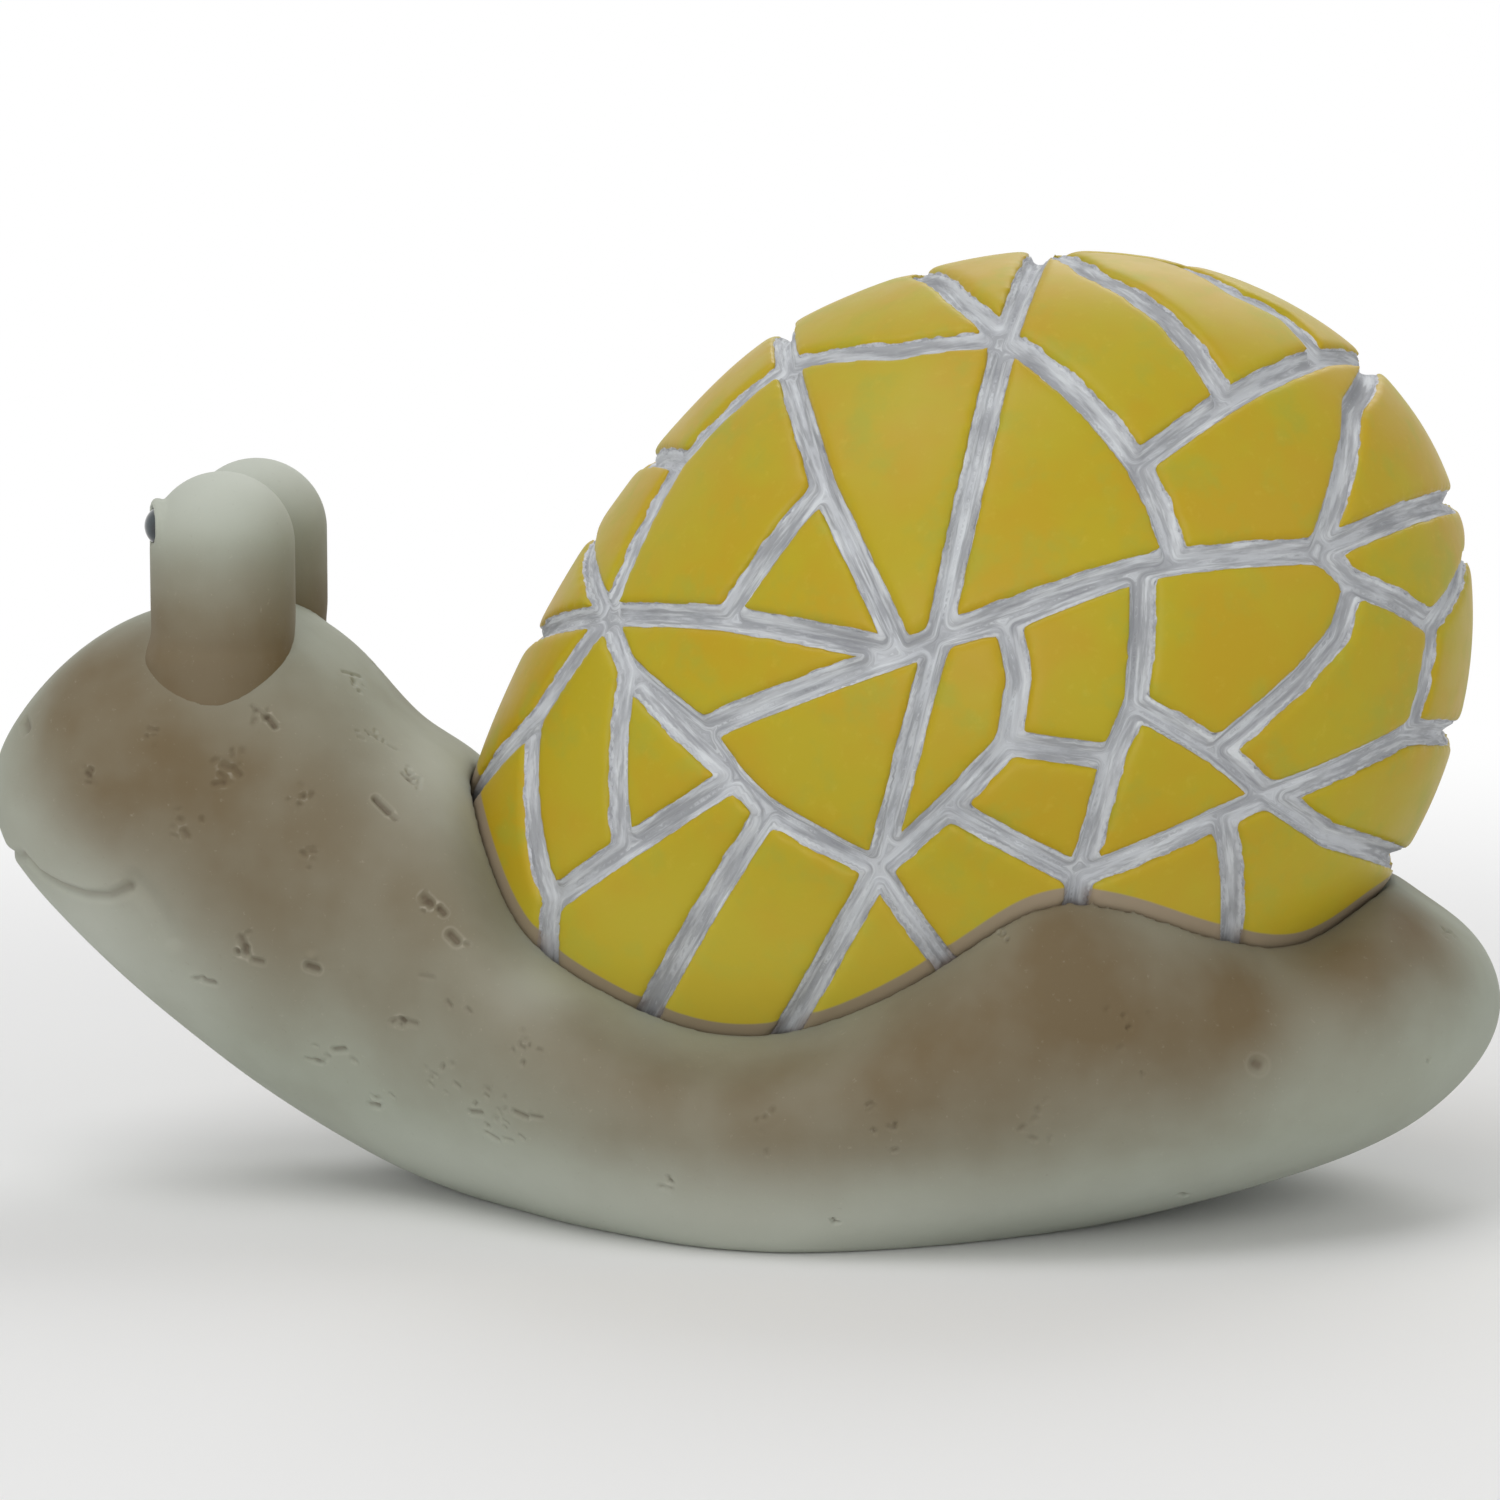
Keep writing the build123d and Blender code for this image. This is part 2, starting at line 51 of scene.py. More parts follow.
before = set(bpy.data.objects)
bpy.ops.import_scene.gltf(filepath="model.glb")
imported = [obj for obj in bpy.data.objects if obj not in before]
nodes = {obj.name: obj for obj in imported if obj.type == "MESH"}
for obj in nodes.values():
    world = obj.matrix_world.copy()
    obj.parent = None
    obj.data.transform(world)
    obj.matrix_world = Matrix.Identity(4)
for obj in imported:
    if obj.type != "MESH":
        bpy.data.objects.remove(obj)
cad_low, cad_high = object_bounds()
tile_nodes = sorted(name for name in nodes if name.startswith("mosaic_tile_"))

MM = 0.001
SEED = 11
WELD_GAP = 0.0001
BODY_LENGTH = (cad_high - cad_low)[0] / MM
RIM_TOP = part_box("body")[1].z / MM

# The photograph's camera
PHOTO_PIXELS = 1500
PIXELS_PER_MM = 6.305
CAMERA_DISTANCE = 850.0
CAMERA_AZIMUTH = math.radians(6)
CAMERA_ELEVATION = math.radians(7.5)
CAMERA_TARGET = Vector((1.35, 0, 70.3))
SENSOR_WIDTH = 36.0
FOCAL_PIXELS = PIXELS_PER_MM * CAMERA_DISTANCE
CAMERA_VIEW_METRES = 20.0
CAMERA_BACK = Vector((
    math.sin(CAMERA_AZIMUTH) * math.cos(CAMERA_ELEVATION),
    -math.cos(CAMERA_AZIMUTH) * math.cos(CAMERA_ELEVATION),
    math.sin(CAMERA_ELEVATION),
))
CAMERA_RIGHT = Vector((math.cos(CAMERA_AZIMUTH), math.sin(CAMERA_AZIMUTH), 0))
CAMERA_UP = CAMERA_BACK.cross(CAMERA_RIGHT)
CAMERA_PLACE = CAMERA_TARGET + CAMERA_BACK * CAMERA_DISTANCE

# The shell's egg, as in the frame
SHELL_CENTRE = np.array((40.1, 0, 80.0))
SHELL_TILT = math.radians(33.5)
SHELL_FRONT_REACH = 103.6
SHELL_REAR_REACH = 78.9
SHELL_HALF_HEIGHT = 66.2
SHELL_HALF_WIDTH = 54.0
FRONT_TAPER = 1.525
REAR_TAPER = 1.943
LONG_AXIS = np.array((math.cos(SHELL_TILT), 0, math.sin(SHELL_TILT)))
CROSS_AXIS = np.array((-math.sin(SHELL_TILT), 0, math.cos(SHELL_TILT)))
HEART_SHARE = 0.12
TILE_HEART = Vector(SHELL_CENTRE - LONG_AXIS * (HEART_SHARE * SHELL_FRONT_REACH)) * MM

# The eye stalks, as in the frame
STALK_X = -80.4
STALK_Y = 13.8
STALK_RADIUS = 11.35

# How finely each piece is meshed, and how often it is smoothed
BODY_VOXEL = 0.75
BODY_SMOOTHING = 5
FINE_CUTS = 2
FINE_SMOOTHING = 3
STALK_VOXEL = 0.42
STALK_SMOOTHING = 4
TILE_VOXEL = 0.55
TILE_SMOOTHING = 18
GROUT_SUBDIVISIONS = 7

# Where the stalks stand on the head: how the casting closes round their feet
STUB_GROWTH = 0.2
STUB_TOP = 98.0
STUB_SHRINK = 0.9
STUB_RUN = (0.05, 0.7)
STUB_REACH = STALK_RADIUS + 3.0
STUB_BOTTOM = 70.0
STUB_RISE_LIMIT = 6.0

# The stalks' feet: a soft crease all round, and a swelling below it towards the cheek, with painted
# shade in the crease and low on the foot
CREASE_HEIGHT = 88.2
CREASE_WIDTH = 2.2
CREASE_DEPTH = 0.25
FOOT_SWELL = 1.6
FOOT_HEADING = math.radians(25)
FOOT_NARROWNESS = 4
FOOT_RUN = (91.0, 85.0)
FOOT_SHADE = 0.3
SHADE_RUN = (91.0, 85.5)

# The joints: how deep they lie at the tiles' walls and along their middle
JOINT_EDGE_DEPTH = 1.05
JOINT_DEPTH = 2.5
JOINT_HALF_WIDTH = 1.6
JOINT_FLOOR = 4.2

# How far the joints reach under the tiles, and what the search for that looks through
JOINT_LAP = 0.8
FIRST_LAP = 1.52
FIRST_SEARCH = 1.6
SEARCH_MARGIN = 1.0
COVER_REACH = 1.0

# Unevenness of the joints
JOINT_WAVE = 0.16
JOINT_WAVE_LENGTH = 5.0

# Gentle unevenness of the tiles' faces, which fades with depth
TILE_WAVE = 0.16
TILE_WAVE_LENGTH = 14.0
TILE_FACE_RUN = (2.5, 0.5)

# Where a tile's paint stops: what counts as its wall, and how round its edge is
WALL_LEAN = 0.3
INSET_LIMIT = 5.0
EDGE_ROUND = 0.3

# How far from the casting the tiles and the joints are painted brown, a band along the lip that is
# also painted shade in the seam
TILE_SEAM = 2.4
JOINT_SEAM = 2.6

# Lines in the head: pixels along each line, then its half width, depth and dark paint, which is
# also the painted shade in the line
MOUTH_LINE = ((24, 856), (40, 874), (60, 886), (85, 895), (110, 896), (128, 888))
CHEEK_LINE = ((136, 884), (150, 898), (162, 916), (172, 938))
NOSTRIL = ((24, 720), (27, 729))
MOUTH_FRONT_HEIGHT = 53.6
FACE_LINES = (
    (MOUTH_LINE, 1.1, 0.9, 0.45), (CHEEK_LINE, 2.2, 0.7, 0.2), (NOSTRIL, 1.0, 0.8, 0.6),
)

# Single dents in the casting: two end pixels, half width and depth. A knob's depth is negative.
DENTS = (
    ((253, 706), (267, 716), 0.4, 0.35), ((268, 717), (275, 726), 0.55, 0.7),
    ((366, 731), (397, 750), 0.35, 0.2), ((221, 774), (225, 778), 0.6, 0.45),
    ((233, 768), (240, 775), 0.55, 0.45), ((222, 757), (238, 762), 0.55, -0.3),
    ((86, 773), (93, 784), 0.8, 0.2), ((343, 672), (361, 677), 0.45, 0.25),
    ((376, 799), (389, 812), 0.65, 0.75), ((393, 816), (396, 819), 0.5, 0.45),
    ((404, 774), (414, 783), 0.55, 0.4), ((420, 778), (418, 788), 0.45, 0.3),
    ((424, 897), (431, 904), 0.7, 0.7), ((439, 908), (444, 913), 0.6, 0.7),
    ((450, 934), (457, 941), 0.75, 0.8), ((466, 943), (469, 944), 0.45, 0.35),
    ((241, 938), (247, 954), 0.7, 0.5), ((253, 960), (262, 962), 0.6, 0.5),
    ((310, 957), (313, 957), 0.9, -0.45), ((308, 966), (317, 969), 0.7, 0.7),
    ((194, 979), (203, 978), 0.5, 0.45), ((205, 981), (214, 983), 0.6, 0.55),
    ((307, 1059), (322, 1063), 0.5, 0.4), ((334, 1050), (344, 1049), 0.6, 0.55),
    ((370, 1105), (378, 1106), 0.7, 0.5), ((391, 1095), (393, 1097), 0.5, 0.35),
    ((402, 1020), (416, 1024), 0.6, 0.4), ((420, 976), (433, 978), 0.45, 0.25),
    ((447, 1002), (450, 1006), 0.5, 0.4), ((467, 1009), (470, 1012), 0.45, 0.35),
    ((470, 1112), (481, 1113), 0.55, 0.5), ((514, 1112), (526, 1117), 0.55, 0.5),
    ((530, 1116), (541, 1118), 0.45, 0.4), ((486, 1133), (498, 1140), 0.55, 0.4),
    ((504, 1139), (512, 1141), 0.45, 0.3), ((455, 1084), (459, 1087), 0.5, 0.35),
    ((429, 1083), (432, 1086), 0.45, 0.3), ((521, 1047), (524, 1048), 0.4, 0.35),
    ((538, 1049), (541, 1050), 0.4, 0.35), ((1256, 1064), (1260, 1066), 1.1, 0.6),
    ((1428, 1060), (1430, 1061), 0.4, 0.3), ((1180, 1194), (1187, 1196), 0.6, 0.6),
)

# A dent's raised rim, the painted highlight on its rim, and how far both reach, in half widths
DENT_RIM = 0.55
RIM_HIGHLIGHT = 0.8
RELIEF_REACH = 3.2
FINE_REACH = 3.0

# Groups of smaller pits: pixel, spread and size. A pit's widths and run are shares of its size.
PITS = (
    (265, 718, 2.4, 0.5), (350, 680, 2.6, 0.5), (370, 735, 2.6, 0.45), (230, 770, 3.0, 0.55),
    (90, 775, 1.4, 0.5), (410, 775, 2.2, 0.5), (190, 825, 3.4, 0.55), (310, 860, 2.4, 0.5),
    (430, 905, 2.4, 0.45), (245, 950, 2.4, 0.5), (400, 1020, 1.8, 0.5), (520, 1045, 2.2, 0.4),
    (330, 1055, 4.0, 0.55), (375, 1100, 2.2, 0.5), (480, 1105, 4.6, 0.55), (440, 1075, 2.8, 0.5),
    (510, 1120, 3.4, 0.5), (1126, 1031, 5.0, 0.55), (1035, 1115, 6.0, 0.6), (880, 1140, 4.4, 0.5),
    (765, 1125, 2.4, 0.5), (1449, 934, 1.8, 0.5), (1000, 935, 1.6, 0.4), (155, 735, 1.4, 0.4),
    (300, 800, 2.0, 0.45), (665, 1185, 1.6, 0.5), (835, 1222, 1.8, 0.45),
)
PIT_COUNT = 6
PIT_WANDER = 0.5
PIT_RUN = 0.7
PIT_WIDTHS = (0.65, 1.2)
PIT_DEPTHS = (0.1, 0.45)
# How deep a dent must be for its painted shade to be full
FULL_SHADE_DEPTH = 0.7

# Brown airbrushed on the casting, which is also painted shade under the shell's lip, round the
# stalks' feet and in the tail's crease: pixel, reach and strength
BROWN_AND_SHADE_SPRAYS = (
    (120, 660, 12, 0.6), (90, 700, 14, 0.8), (110, 765, 18, 0.85), (190, 800, 20, 0.7),
    (280, 740, 20, 0.25), (345, 760, 22, 0.3), (270, 870, 24, 0.6), (370, 890, 22, 0.5),
    (430, 950, 20, 0.45), (520, 1030, 16, 0.6), (640, 1085, 17, 0.75), (780, 1100, 18, 0.75),
    (900, 1070, 18, 0.8), (1000, 1050, 18, 0.95), (1100, 1000, 18, 1.0), (1060, 935, 9, 0.9),
    (1240, 1000, 15, 1.0), (1340, 965, 12, 1.0), (1410, 930, 12, 1.0), (1180, 1060, 12, 0.5),
)

# Pale sprayed on it in the same way, and all along its low edge, where the paler paint is also
# painted fill light from the floor
PALE_SPRAYS = (
    (88, 922, 12, 0.5), (20, 830, 9, 0.2), (175, 985, 12, 0.25), (450, 780, 13, 0.4),
    (540, 985, 7, 0.3),
)
LOW_PALE_FILL_LIGHT = 0.42
LOW_FILL_LIGHT_RUN = (20.0, 5.0)

# Brown low on the stalks, which is also painted shade towards the head, and pale at their tops,
# which is also a painted highlight from above
STALK_BROWN_SHADE_HEIGHTS = (112.0, 86.0)
STALK_HIGHLIGHT_HEIGHTS = (100.0, 116.0)
STALK_PALE_HIGHLIGHT = 0.7

# Painted light: the lower tiles are painted a little lighter, a painted fill light from below
PAINTED_FILL_LIGHT_RUN = (66.0, 34.0)
PAINTED_FILL_LIGHT_SHARE = 0.45


def tone(red, green, blue):
    """A colour written as 8-bit screen values, as the shader wants it."""
    shares = [value / 255 for value in (red, green, blue)]
    bend = [s / 12.92 if s <= 0.04045 else ((s + 0.055) / 1.055) ** 2.4 for s in shares]
    return (*bend, 1.0)


def smooth_step(value, low, high):
    """Runs from 0 to 1 as a value goes from low to high, evenly at both ends. It may fall."""
    share = np.clip((value - low) / (high - low), 0, 1)
    return share * share * (3 - 2 * share)


# Paints

RESIN_GREY = tone(164, 169, 155)
RESIN_BROWN_SHADE = tone(108, 93, 67)
RESIN_PALE_HIGHLIGHT = tone(198, 202, 192)
SPECK_DARK = tone(88, 76, 58)
SPECK_LIGHT = tone(206, 200, 182)
PIT_SHADE = tone(84, 64, 48)
PIT_RIM_HIGHLIGHT = tone(196, 190, 174)
TILE_YELLOW = tone(176, 158, 20)
TILE_GOLD = tone(180, 150, 16)
TILE_OLIVE = tone(158, 158, 44)
TILE_FILL_LIGHT = tone(216, 202, 76)
TILE_BRUSHED = tone(206, 184, 70)
TILE_RIM_GREY = tone(160, 161, 166)
TILE_RIM_WHITE = tone(196, 198, 203)
TILE_SEAM_BROWN_SHADE = tone(148, 134, 120)
JOINT_GREY = tone(162, 164, 168)
JOINT_PALE = tone(196, 199, 203)
JOINT_WHITE = tone(230, 234, 236)
JOINT_DARK = tone(116, 117, 124)
JOINT_SEAM_BROWN_SHADE = tone(116, 94, 78)
BEAD_BLACK = tone(14, 20, 24)
BEAD_TEAL = tone(28, 44, 50)
STEEL_GREY = tone(150, 152, 154)
STEEL_LIGHT = tone(178, 180, 182)
CORE_CREAM = tone(186, 182, 170)
CORE_PALE = tone(204, 200, 190)
BASE_TAUPE = tone(134, 130, 116)
BASE_LIGHT = tone(152, 149, 136)
FLOOR_PAPER = tone(240, 240, 240)
WHITE = (1.0, 1.0, 1.0, 1.0)

# Meshes as arrays, in millimetres


def points_of(mesh):
    """A mesh's points."""
    flat = np.empty(len(mesh.vertices) * 3)
    mesh.vertices.foreach_get("co", flat)
    return flat.reshape(-1, 3) / MM


def normals_of(mesh):
    """The outward direction at each of a mesh's points."""
    flat = np.empty(len(mesh.vertices) * 3)
    mesh.vertex_normals.foreach_get("vector", flat)
    return flat.reshape(-1, 3)


def edges_of(mesh):
    """The two ends of each of a mesh's edges."""
    flat = np.empty(len(mesh.edges) * 2, np.int32)
    mesh.edges.foreach_get("vertices", flat)
    return flat.reshape(-1, 2)


def place_points(mesh, points):
    """Moves a mesh's points."""
    mesh.vertices.foreach_set("co", (points * MM).ravel())
    mesh.update()


def mark(mesh, name, values):
    """Stores one number for each point, for the material to read."""
    layer = mesh.attributes.new(name, "FLOAT", "POINT")
    layer.data.foreach_set("value", np.ascontiguousarray(values, np.float32))


def smoothed(points, edges, rounds, share=0.5):
    """Points moved towards the mean of their neighbours, again and again."""
    first, second = edges.T
    count = np.maximum(np.bincount(edges.ravel(), minlength=len(points)), 1)
    for _ in range(rounds):
        mean = np.empty_like(points)
        for axis in range(3):
            total = np.bincount(first, points[second, axis], len(points))
            total += np.bincount(second, points[first, axis], len(points))
            mean[:, axis] = total / count
        points = points + share * (mean - points)
    return points


def waves(points, length, shift):
    """Smooth noise between -1 and 1 at each point."""
    return np.array([noise.noise(Vector(p) / length + Vector((shift, 0, 0))) for p in points])


def new_piece(name, mesh):
    """An object that holds a mesh."""
    piece = bpy.data.objects.new(name, mesh)
    bpy.context.scene.collection.objects.link(piece)
    return piece


def finished(piece, *modifiers):
    """Works out an object's modifiers and leaves plain mesh."""
    for kind, settings in modifiers:
        step = piece.modifiers.new(kind.lower(), kind)
        for key, value in settings.items():
            setattr(step, key, value)
    graph = bpy.context.evaluated_depsgraph_get()
    mesh = bpy.data.meshes.new_from_object(piece.evaluated_get(graph))
    old = piece.data
    piece.modifiers.clear()
    piece.data = mesh
    bpy.data.meshes.remove(old)
    mesh.materials.clear()
    mesh.shade_smooth()
    return piece


def even_piece(name, forms, voxel):
    """One evenly meshed piece that joins closed forms."""
    mesh = bpy.data.meshes.new(name)
    whole = bmesh.new()
    for form in forms:
        whole.from_mesh(form)
    whole.to_mesh(mesh)
    whole.free()
    even = ("REMESH", {"mode": "VOXEL", "voxel_size": voxel * MM, "use_smooth_shade": True})
    return finished(new_piece(name, mesh), even)


def tree_of(names):
    """The faces of some CAD nodes, for finding the nearest one. It works in metres."""
    corners, faces = [], []
    for name in names:
        mesh = nodes[name].data
        start = len(corners)
        corners += [vertex.co.copy() for vertex in mesh.vertices]
        faces += [[start + index for index in face.vertices] for face in mesh.polygons]
    return BVHTree.FromPolygons(corners, faces)


def reach_to(tree, points, limit):
    """Signed distance from each point to a tree's faces, negative inside, up to a limit."""
    found = np.full(len(points), float(limit))
    for index, point in enumerate(points):
        spot = Vector(point * MM)
        hit, normal, _, distance = tree.find_nearest(spot, limit * MM)
        if hit is not None:
            side = -1 if (spot - hit).dot(normal) < 0 else 1
            found[index] = side * distance / MM
    return found


def growth_to_face(offset):
    """How many times each offset from the shell's centre fits in the way to its face."""
    along = offset @ LONG_AXIS
    reach = np.where(along < 0, SHELL_FRONT_REACH, SHELL_REAR_REACH)
    taper = np.where(along < 0, FRONT_TAPER, REAR_TAPER)
    ring = np.hypot(offset[:, 1] / SHELL_HALF_WIDTH, offset @ CROSS_AXIS / SHELL_HALF_HEIGHT)
    level = (np.abs(along) / reach) ** taper + ring ** taper
    return level ** (-1 / taper)


def shell_depth(points):
    """How deep points lie below the shell's face."""
    offset = points - SHELL_CENTRE
    return (growth_to_face(offset) - 1) * np.linalg.norm(offset, axis=1)


# Places on the casting that the photograph shows

body_tree = tree_of(["body"])


def seen_at(pixel):
    """The place on the near side of the casting that a pixel shows."""
    across = (pixel[0] - PHOTO_PIXELS / 2) / FOCAL_PIXELS
    down = (pixel[1] - PHOTO_PIXELS / 2) / FOCAL_PIXELS
    ahead = (CAMERA_RIGHT * across - CAMERA_UP * down - CAMERA_BACK).normalized()
    hit = body_tree.ray_cast(CAMERA_PLACE * MM, ahead)[0]
    if hit is None:
        raise ValueError("no part of the casting shows at pixel %s" % (pixel,))
    return np.array(hit) / MM


def far_twin(place):
    """The same place on the snail's other side."""
    return place * np.array((1, -1, 1))


def sprayed(points, sprays):
    """How much paint some sprays leave at each point, from 0 to 1."""
    bare = np.ones(len(points))
    for across, down, reach, strength in sprays:
        centre = seen_at((across, down))
        for spot in (centre, far_twin(centre)):
            distance = np.linalg.norm(points - spot, axis=1)
            bare *= 1 - strength * np.exp(-(distance / reach) ** 2)
    return 1 - bare


def line_distance(points, line):
    """Distance from each point to a line through some places."""
    nearest = np.full(len(points), np.inf)
    for start, end in zip(line[:-1], line[1:]):
        run = end - start
        share = np.clip((points - start) @ run / (run @ run), 0, 1)
        gap = np.linalg.norm(points - start - share[:, None] * run, axis=1)
        nearest = np.minimum(nearest, gap)
    return nearest


def on_casting(place):
    """The place on the casting nearest to another."""
    return np.array(body_tree.find_nearest(Vector(place * MM))[0]) / MM


def relief_lines():
    """Every line and dent on both sides: places along it, half width, depth and painted shade."""
    found = []
    for pixels, width, depth, dark in FACE_LINES:
        near = [seen_at(pixel) for pixel in pixels]
        far = [far_twin(spot) for spot in near]
        if pixels is MOUTH_LINE:
            front = (near[0] + far[0]) / 2
            front[0] = -BODY_LENGTH / 2
            front[2] = MOUTH_FRONT_HEIGHT
            bend = on_casting((front + near[0]) / 2)
            whole = far[::-1] + [far_twin(bend), front, bend] + near
            found.append((whole, width, depth, dark))
        else:
            found += [(near, width, depth, dark), (far, width, depth, dark)]
    chance = random.Random(SEED)
    dents = [([seen_at(start), seen_at(end)], width, depth) for start, end, width, depth in DENTS]
    for across, down, spread, size in PITS:
        centre = seen_at((across, down))
        for _ in range(PIT_COUNT):
            shift = np.array([chance.gauss(0, PIT_WANDER * spread) for _ in range(3)])
            run = np.array([chance.gauss(0, PIT_RUN * size) for _ in range(3)])
            start = on_casting(centre + shift)
            width = size * chance.uniform(*PIT_WIDTHS)
            dents.append(([start, on_casting(start + run)], width, chance.uniform(*PIT_DEPTHS)))
    for spots, width, depth in dents:
        found.append((spots, width, depth, 1.0))
        found.append(([far_twin(spot) for spot in spots], width, depth, 1.0))
    return found


def close_to(points, line, reach):
    """Which points may lie within a reach of a line."""
    low = np.min(line, axis=0) - reach
    high = np.max(line, axis=0) + reach
    return np.flatnonzero(((points > low) & (points < high)).all(axis=1))


def relief(points, lines):
    """How deep the lines and dents are at each point, and their painted shade, which turns into a
    painted highlight on their rims.
    """
    depths = np.zeros(len(points))
    shades = np.zeros(len(points))
    for line, width, depth, dark in lines:
        close = close_to(points, line, RELIEF_REACH * width)
        reach = (line_distance(points[close], line) / width) ** 2
        bell = np.exp(-reach)
        depths[close] += depth * bell * (1 - DENT_RIM * reach)
        shades[close] += dark * max(depth, 0) * bell * (1 - RIM_HIGHLIGHT * reach)
    return depths, np.clip(shades / FULL_SHADE_DEPTH, -1, 1)


def refine(mesh, points, lines):
    """Splits a mesh's faces finer where lines and dents will go."""
    near = np.zeros(len(points), bool)
    for line, width, _, _ in lines:
        close = close_to(points, line, RELIEF_REACH * width)
        near[close] |= line_distance(points[close], line) < FINE_REACH * width
    near = near.tolist()
    form = bmesh.new()
    form.from_mesh(mesh)
    edges = [edge for edge in form.edges if near[edge.verts[0].index] and near[edge.verts[1].index]]
    bmesh.ops.subdivide_edges(form, edges=edges, cuts=FINE_CUTS, use_grid_fill=True)
    form.to_mesh(mesh)
    form.free()
    mesh.shade_smooth()


# Node materials


def new_material(name):
    """A material with one principled shader."""
    paint = bpy.data.materials.new(name)
    paint.use_nodes = True
    tree = paint.node_tree
    tree.nodes.clear()
    end = tree.nodes.new("ShaderNodeOutputMaterial")
    shader = tree.nodes.new("ShaderNodeBsdfPrincipled")
    tree.links.new(shader.outputs["BSDF"], end.inputs["Surface"])
    return paint, tree, shader


def add(tree, kind, inputs=(), **settings):
    """A node with its settings and its inputs, which are values or other nodes' outputs."""
    made = tree.nodes.new("ShaderNode" + kind)
    for key, value in settings.items():
        setattr(made, key, value)
    for key, value in dict(inputs).items():
        if isinstance(value, bpy.types.NodeSocket):
            tree.links.new(value, made.inputs[key])
        else:
            made.inputs[key].default_value = value
    return made


def marked(tree, name):
    """The number that mark() stored."""
    return add(tree, "Attribute", attribute_name=name).outputs["Fac"]


def place(tree):
    """Where the surface is, in metres."""
    return add(tree, "TexCoord").outputs["Object"]


def grain(tree, length, detail=2.0, roughness=0.5, **more):
    """Noise whose waves are a length in millimetres."""
    inputs = {"Vector": place(tree), "Scale": 1 / (length * MM), "Detail": detail,
              "Roughness": roughness}
    dimensions = "4D" if "W" in more else "3D"
    inputs.update(more)
    return add(tree, "TexNoise", inputs, noise_dimensions=dimensions).outputs["Fac"]


def ramp(tree, value, low, high, start=0.0, end=1.0):
    """A value's run from low to high turned into one from start to end."""
    inputs = {"Value": value, "From Min": low, "From Max": high, "To Min": start, "To Max": end}
    return add(tree, "MapRange", inputs, interpolation_type="SMOOTHSTEP").outputs["Result"]


def math_of(tree, operation, first, second):
    """Two numbers put together."""
    return add(tree, "Math", {0: first, 1: second}, operation=operation).outputs["Value"]


def blend(tree, share, first, second):
    """Two colours mixed."""
    inputs = {0: share, 6: first, 7: second}
    return add(tree, "Mix", inputs, data_type="RGBA").outputs[2]


def roughen(tree, shader, height, strength, distance):
    """Small bumps on the surface, from a height between 0 and 1 and its size."""
    inputs = {"Height": height, "Strength": strength, "Distance": distance * MM}
    bumps = add(tree, "Bump", inputs).outputs["Normal"]
    tree.links.new(bumps, shader.inputs["Normal"])


# How much of its range a noise needs to run from nothing to all
WIDE_SPAN = (0.3, 0.7)
MIDDLE_SPAN = (0.35, 0.65)
NARROW_SPAN = (0.4, 0.6)

# Every paint's faint shine. A paint's bumps are given as their strength and height.
PAINT_SPECULAR = 0.3

# The casting's paint: lengths of its noises, spans and shares of its tones, dullness and bumps
RESIN_PATCH = 16.0
BROWN_DRIFT = 0.07
RESIN_SPECKLE = 0.9
DARK_SPECK_SPAN = (0.62, 0.8)
LIGHT_SPECK_SPAN = (0.38, 0.22)
SPECK_SHARE = 0.16
# Painted shade in the dents, lines and stalks' feet, and a painted highlight on the dents' rims
PIT_SHADE_SPAN = (0.1, 1.0)
PIT_SHADE_SHARE = 0.45
RIM_HIGHLIGHT_SPAN = (-0.03, -0.2)
RIM_HIGHLIGHT_SHARE = 0.4
RESIN_DULLNESS = (0.62, 0.74)
RESIN_FINE = 0.7
RESIN_COARSE = 3.4
RESIN_BUMPS = (0.2, 0.12)


def resin_material():
    """Cast stone resin, airbrushed light grey and brown, with painted shade in its hollows and
    under the shell, and painted highlights.
    """
    paint, tree, shader = new_material("painted_resin")
    patch = grain(tree, RESIN_PATCH, detail=3)
    drift = ramp(tree, patch, *WIDE_SPAN, -BROWN_DRIFT, BROWN_DRIFT)
    # Brown, which is also painted shade under the shell's lip and round the stalks' feet
    brown = math_of(tree, "ADD", marked(tree, "brown"), drift)
    colour = blend(tree, brown, RESIN_GREY, RESIN_BROWN_SHADE)
    colour = blend(tree, marked(tree, "pale"), colour, RESIN_PALE_HIGHLIGHT)
    speckle = grain(tree, RESIN_SPECKLE, detail=4, roughness=0.65)
    dark_specks = ramp(tree, speckle, *DARK_SPECK_SPAN, 0, SPECK_SHARE)
    colour = blend(tree, dark_specks, colour, SPECK_DARK)
    light_specks = ramp(tree, speckle, *LIGHT_SPECK_SPAN, 0, SPECK_SHARE)
    colour = blend(tree, light_specks, colour, SPECK_LIGHT)
    # The pit mark holds painted shade in the dents, lines and stalks' feet, and where it falls
    # below nothing, a painted highlight on the dents' rims
    pit = marked(tree, "pit")
    colour = blend(tree, ramp(tree, pit, *PIT_SHADE_SPAN, 0, PIT_SHADE_SHARE), colour, PIT_SHADE)
    colour = blend(tree, ramp(tree, pit, *RIM_HIGHLIGHT_SPAN, 0, RIM_HIGHLIGHT_SHARE), colour, PIT_RIM_HIGHLIGHT)
    tree.links.new(colour, shader.inputs["Base Color"])
    dull = ramp(tree, patch, *WIDE_SPAN, *RESIN_DULLNESS)
    tree.links.new(dull, shader.inputs["Roughness"])
    shader.inputs["Specular IOR Level"].default_value = PAINT_SPECULAR
    fine = grain(tree, RESIN_FINE, detail=5, roughness=0.6)
    coarse = grain(tree, RESIN_COARSE, detail=3)
    height = math_of(tree, "ADD", fine, coarse)
    roughen(tree, shader, height, *RESIN_BUMPS)
    return paint


